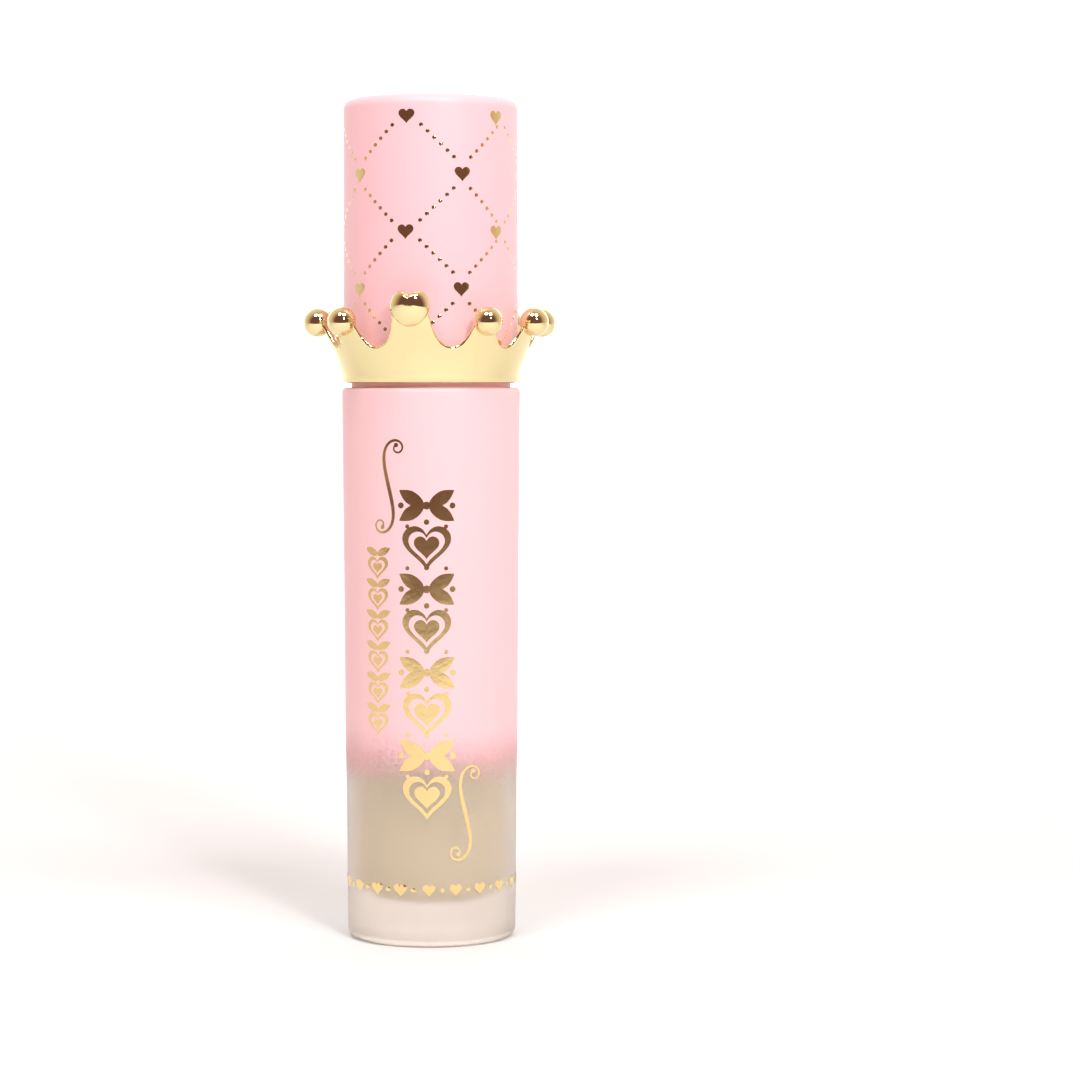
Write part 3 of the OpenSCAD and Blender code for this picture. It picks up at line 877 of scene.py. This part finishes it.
def make_applicator():
    """The flocked doe-foot: a smooth body under thousands of short fibres."""
    rings, sides, under, rooted = 64, 64, -0.06, -0.09
    levels = [1 - math.cos(math.pi / 2 * i / rings) for i in range(1, rings + 1)]
    points = [foot_point(s, math.tau * k / sides, under) for s in levels for k in range(sides)]
    faces = grid_faces(rings, sides, wrap=True)
    tip, top = len(points), len(points) + 1
    points += [(foot_section(0)[2], -foot_section(0)[3], T.tip_z + 0.02), (0, 0, T.flock_top)]
    last = (rings - 1) * sides
    for k in range(sides):
        j = (k + 1) % sides
        faces += [[k, j, tip], [last + k, last + j, top]]
    body = Parts()
    body.add(points, faces)
    draw = np.random.default_rng(7)
    for _ in range(sizes().fibres):
        s, a = draw.uniform(0.004, 0.985), draw.uniform(0, math.tau)
        root = np.array(foot_point(s, a, rooted))
        along = np.array(foot_point(min(1, s + 0.01), a)) - np.array(foot_point(max(0, s - 0.01), a))
        across = np.array(foot_point(s, a + 0.05)) - np.array(foot_point(s, a - 0.05))
        normal = np.cross(across, along)
        normal /= max(1e-9, np.linalg.norm(normal))
        lean = draw.normal(0, 0.35, 3)
        way = normal + lean - np.array([0, 0, 0.25])
        way /= np.linalg.norm(way)
        if way @ normal < 0.2:
            way = normal
        side = np.cross(way, [0.3, 0.5, 0.8])
        side /= np.linalg.norm(side)
        other = np.cross(way, side)
        length, width = draw.uniform(0.16, 0.3), 0.028
        tri = [root + width * (side * math.cos(t) + other * math.sin(t))
               for t in (0, 2.09, 4.19)]     # thirds of a turn
        body.add(tri + [root + way * length], [[0, 1, 2], [0, 1, 3], [1, 2, 3], [2, 0, 3]])
    material, _, _ = grained("Wet Flock", colours().flock, grain=0.0003, drift=0.003, bump=0.00004,
                             tint=0.08, rough=(0.5, 0.1), Subsurface_Weight=0.3, Subsurface_Scale=0.001,
                             Sheen_Weight=0.3)
    new_piece("applicator_foot", body.points, body.faces, "cap", material, "flock",
              ["applicator_flock"])


def make_stem():
    """The hollow-ended stem, with its lower end stained by the gloss."""
    edge, stain_foot, stain_top = sizes().edge / MM, 2.0, 10.5
    rows = np.linspace(T.flock_top, T.flock_top + 12, 8)[1:]
    profile = filleted([(0, T.socket_top, 0), (T.socket_r, T.socket_top, edge),
                        (T.socket_r, T.flock_top, edge), (T.stem_r, T.flock_top, edge)]
                       + [(T.stem_r, z, 0) for z in rows]
                       + [(T.stem_r, T.stem_top, 0.3), (0, T.stem_top, 0)])
    points, faces = revolve(profile, 96)
    white, stain = tuple(colours().white), tuple(colours().flock)
    material, tree, shader = grained("Stem Plastic", white, grain=0.0008, bump=0.000004, tint=0.01,
                                     rough=(0.3, 0.04), Subsurface_Weight=0.5, Subsurface_Scale=0.004,
                                     Coat_Weight=0.2)
    mask = height_mask(tree, (T.flock_top + stain_top) * MM, (T.flock_top + stain_foot) * MM, 0.006)
    mix = add_node(tree, "ShaderNodeMix", [("Factor", mask.outputs["Mask"])], data_type="RGBA")
    color_a, color_b = mix.inputs[6], mix.inputs[7]
    color_a.default_value, color_b.default_value = (*stain, 1), (*white, 1)
    tree.links.new(mix.outputs[2], shader.inputs["Base Color"])
    new_piece("wand_stem_white", points, faces, "cap", material, "stem_plastic", ["wand_stem"], sharp=50)


def finish_inner_parts():
    """Materials of the inner pieces that keep their CAD shape."""
    white, foam = colours().white, srgb(246, 246, 244)
    half_pink = [0.5 * a + 0.5 * b for a, b in zip(white, colours().pink)]
    finishes = {
        "wiper": grained("Wiper Plastic", white, grain=0.0006, tint=0.02, rough=(0.35, 0.05),
                         Subsurface_Weight=0.3, Subsurface_Scale=0.002),
        "seal_washer": grained("Washer Foam", foam, grain=0.0003, bump=0.00005, tint=0.05,
                               rough=(0.8, 0.05)),
        "inner_cap": grained("Inner Cap Plastic", half_pink, grain=0.0008, tint=0.02,
                             rough=(0.3, 0.05), Subsurface_Weight=0.2, Subsurface_Scale=0.002),
        "applicator_core": grained("Applicator Core", colours().flock, grain=0.0006, tint=0.03,
                                   rough=(0.45, 0.05)),
    }
    for node, (material, _, _) in finishes.items():
        obj = frame["nodes"][node]
        shade(obj, material)


# ---------- stage

def softbox(name, place, aim, size, power):
    """A rectangular studio light, in millimetres, that faces a point."""
    data = bpy.data.lights.new(name, "AREA")
    data.shape, data.size, data.size_y = "RECTANGLE", size[0] * MM, size[1] * MM
    data.energy = power
    obj = linked(name, data)
    obj.location = Vector(place) * MM
    obj.rotation_euler = (Vector(aim) - Vector(place)).to_track_quat("-Z", "Y").to_euler()


def make_stage():
    """A white sweep, three soft lights over the front, a room that is dark in front, and the camera."""
    front, back, side, wall, bend = -340, 900, 1500, 1400, 300
    curve = [(front, 0), (back, 0)]
    curve += [(back + bend * math.sin(a), bend - bend * math.cos(a))
              for a in np.linspace(0, math.pi / 2, 13)[1:]]
    curve.append((back + bend, wall))
    points = [(x, y, z) for y, z in curve for x in (-side, side)]
    sweep = linked_mesh("white_sweep", points, grid_faces(len(curve), 2))
    material, tree, shader = principled("White Sweep", (0.66, 0.66, 0.66), Roughness=1.0,
                                        Emission_Strength=1.0)
    spot = add_node(tree, "ShaderNodeTexCoord").outputs["Object"]
    far = add_node(tree, "ShaderNodeSeparateXYZ", [(0, spot)]).outputs["Y"]
    glow = add_node(tree, "ShaderNodeMapRange",
                    [("Value", far), ("From Min", 0.05), ("From Max", 0.6), ("To Min", 0.17),
                     ("To Max", 1.0)])
    tree.links.new(glow.outputs["Result"], shader.inputs["Emission Color"])
    shade(sweep, material)

    world = bpy.data.worlds.new("Studio")
    bpy.context.scene.world = world
    world.use_nodes = True
    tree = world.node_tree
    place = add_node(tree, "ShaderNodeTexCoord").outputs["Generated"]
    depth = add_node(tree, "ShaderNodeSeparateXYZ", [(0, place)]).outputs["Y"]
    reach = add_node(tree, "ShaderNodeMapRange",
                     [("Value", depth), ("From Min", -0.6), ("From Max", 0.3)])
    ramp = add_node(tree, "ShaderNodeValToRGB", [("Fac", reach.outputs["Result"])])
    ramp.color_ramp.elements[0].color = (0.2, 0.1, 0.1, 1)
    ramp.color_ramp.elements[1].color = (1.0, 0.99, 0.98, 1)
    ramp.color_ramp.elements.new(0.55).color = (0.95, 0.6, 0.42, 1)
    tree.links.new(ramp.outputs["Color"], tree.nodes["Background"].inputs["Color"])
    tree.nodes["Background"].inputs["Strength"].default_value = 0.8

    middle = (0, 0, 50)
    softbox("light_right", (130, -250, 470), middle, (150, 150), 1.15)
    softbox("light_left", (-110, -230, 480), middle, (130, 150), 0.95)
    softbox("light_key", (222, -575, 350), middle, (70, 70), 1.6)

    camera = bpy.data.cameras.new("camera")
    camera.sensor_width, camera.lens = 36, 108.6
    camera.clip_start, camera.clip_end = 0.01, 10
    obj = linked("camera", camera)
    obj.location = Vector((12.56, -376, 64.9)) * MM
    obj.rotation_euler = (math.radians(90 - 2.9), 0, 0)
    bpy.context.scene.camera = obj
    bpy.context.scene.view_settings.view_transform = "Standard"


# ---------- operators, panel and main

class GLOSSTUBE_OT_stage(bpy.types.Operator):
    """Add the white sweep, the lights and the camera"""

    bl_idname = "glosstube.stage"
    bl_label = "Stage"

    def execute(self, context):
        make_stage()
        return {"FINISHED"}


class GLOSSTUBE_OT_vial(bpy.types.Operator):
    """Build the frosted vial and its sprayed pink coat"""

    bl_idname = "glosstube.vial"
    bl_label = "Vial"

    def execute(self, context):
        make_vial()
        make_coat()
        return {"FINISHED"}


class GLOSSTUBE_OT_gloss(bpy.types.Operator):
    """Build the gloss in the vial"""

    bl_idname = "glosstube.gloss"
    bl_label = "Gloss"

    def execute(self, context):
        make_gloss()
        return {"FINISHED"}


class GLOSSTUBE_OT_vial_foil(bpy.types.Operator):
    """Lay the foil ornament on the vial"""

    bl_idname = "glosstube.vial_foil"
    bl_label = "Vial Foil"

    def execute(self, context):
        make_vial_foil()
        return {"FINISHED"}


class GLOSSTUBE_OT_cap(bpy.types.Operator):
    """Build the pink shell and its foil lattice"""

    bl_idname = "glosstube.cap"
    bl_label = "Cap"

    def execute(self, context):
        make_cap_shell()
        make_cap_foil()
        return {"FINISHED"}


class GLOSSTUBE_OT_crown(bpy.types.Operator):
    """Build the gold crown with its beads and heart"""

    bl_idname = "glosstube.crown"
    bl_label = "Crown"

    def execute(self, context):
        make_crown()
        return {"FINISHED"}


class GLOSSTUBE_OT_wand(bpy.types.Operator):
    """Build the stem and the flocked applicator"""

    bl_idname = "glosstube.wand"
    bl_label = "Wand"

    def execute(self, context):
        make_stem()
        make_applicator()
        return {"FINISHED"}


class GLOSSTUBE_OT_inner_parts(bpy.types.Operator):
    """Finish the wiper, washer, inner cap and applicator core"""

    bl_idname = "glosstube.inner_parts"
    bl_label = "Inner Parts"

    def execute(self, context):
        finish_inner_parts()
        return {"FINISHED"}


OPERATORS = [
    GLOSSTUBE_OT_stage, GLOSSTUBE_OT_vial, GLOSSTUBE_OT_gloss, GLOSSTUBE_OT_vial_foil,
    GLOSSTUBE_OT_cap, GLOSSTUBE_OT_crown, GLOSSTUBE_OT_wand, GLOSSTUBE_OT_inner_parts,
]


class GLOSSTUBE_PT_panel(bpy.types.Panel):
    """Lists the pieces of the tube, with their sizes and colours"""

    bl_idname = "GLOSSTUBE_PT_panel"
    bl_label = "Lip Gloss Tube"
    bl_space_type = "VIEW_3D"
    bl_region_type = "UI"
    bl_category = "Lip Gloss"

    def draw(self, context):
        for made in OPERATORS:
            self.layout.operator(made.bl_idname)
        for group in (sizes(), colours()):
            for name in group.__annotations__:
                self.layout.prop(group, name)


CLASSES = [GlossTubeSizes, GlossTubeColours, *OPERATORS, GLOSSTUBE_PT_panel]


def register():
    for made in CLASSES:
        bpy.utils.register_class(made)
    bpy.types.Scene.gloss_tube_sizes = PointerProperty(type=GlossTubeSizes)
    bpy.types.Scene.gloss_tube_colours = PointerProperty(type=GlossTubeColours)


def unregister():
    del bpy.types.Scene.gloss_tube_colours
    del bpy.types.Scene.gloss_tube_sizes
    for made in reversed(CLASSES):
        bpy.utils.unregister_class(made)


def main():
    register()
    for made in OPERATORS:
        getattr(bpy.ops.glosstube, made.bl_idname.split(".")[1])()


if __name__ == "__main__":
    main()
